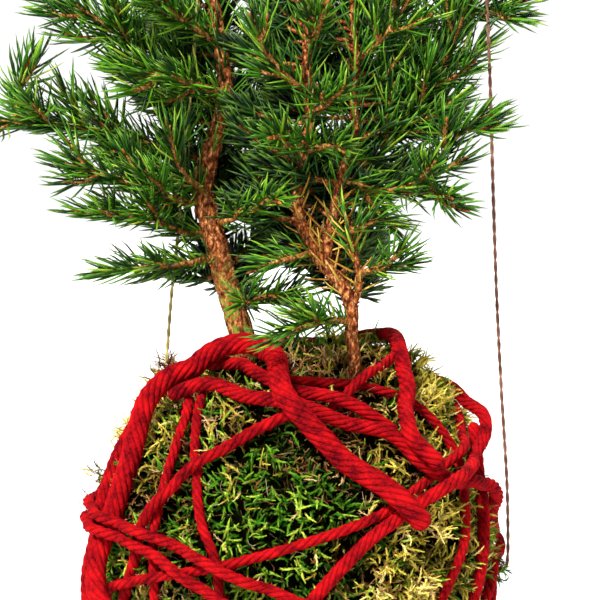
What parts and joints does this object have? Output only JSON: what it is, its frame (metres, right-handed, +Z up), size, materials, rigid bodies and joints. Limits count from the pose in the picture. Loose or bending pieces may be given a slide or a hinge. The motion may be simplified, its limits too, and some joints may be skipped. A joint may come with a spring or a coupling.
{
  "type": "kokedama moss ball plant",
  "caption": "Young spruce stems growing from a round moss ball wound with thick and thin red yarn, standing on a small flat spot, with taut twines tied up to its branches",
  "frame": {"origin": "bottom centre of the plant's bounding box, measured without the two twines and their knots, on the surface it stands on", "axes": "+X to the viewer's right, +Y away from the viewer, +Z up along the stems"},
  "size_m": [0.2024, 0.1704, 0.3379],
  "materials": {
    "soil": "dark damp crumbly soil",
    "moss": "matt feathery sheet moss, green with yellow and brown tips",
    "yarn": "matt fuzzy twisted red wool",
    "bark": "rough flaky orange-brown bark",
    "needles": "satin green needles with yellow-green tips",
    "twine": "matt fuzzy twisted brown twine"
  },
  "bodies": {
    "root": {"leader_centre": "needles", "leader_left": "needles", "leader_right": "needles", "moss_cover": "moss", "rope_lower_pair": "yarn", "rope_main": "yarn", "rope_right_cross": "yarn", "rope_round": "yarn", "rope_upper_pair": "yarn", "soil_ball": "soil", "spray_back_1": "needles", "spray_back_2": "needles", "spray_back_3": "needles", "spray_back_4": "needles", "spray_back_5": "needles", "spray_back_6": "needles", "spray_front_1": "needles", "spray_front_2": "needles", "spray_front_3": "needles", "spray_front_4": "needles", "spray_front_5": "needles", "spray_front_6": "needles", "spray_front_7": "needles", "spray_left_1": "needles", "spray_left_2": "needles", "spray_left_3": "needles", "spray_left_4": "needles", "spray_left_5": "needles", "spray_left_6": "needles", "spray_left_7": "needles", "spray_left_8": "needles", "spray_left_9": "needles", "spray_low_left": "needles", "spray_low_right": "needles", "spray_right_1": "needles", "spray_right_2": "needles", "spray_right_3": "needles", "spray_right_4": "needles", "spray_right_5": "needles", "spray_right_6": "needles", "spray_right_7": "needles", "spray_right_8": "needles", "spray_top_1": "needles", "spray_top_2": "needles", "spray_top_3": "needles", "spray_top_4": "needles", "stem_left": "bark", "stem_right": "bark", "twine_left": "twine", "twine_left_knot": "twine", "twine_right": "twine", "twine_right_knot": "twine", "yarn_left_inner": "yarn", "yarn_left_upright": "yarn", "yarn_long_cross": "yarn", "yarn_over_shoulder": "yarn", "yarn_sash_lower": "yarn", "yarn_sash_upper": "yarn", "yarn_slanting": "yarn", "yarn_top_right": "yarn"}
  },
  "joints": []
}
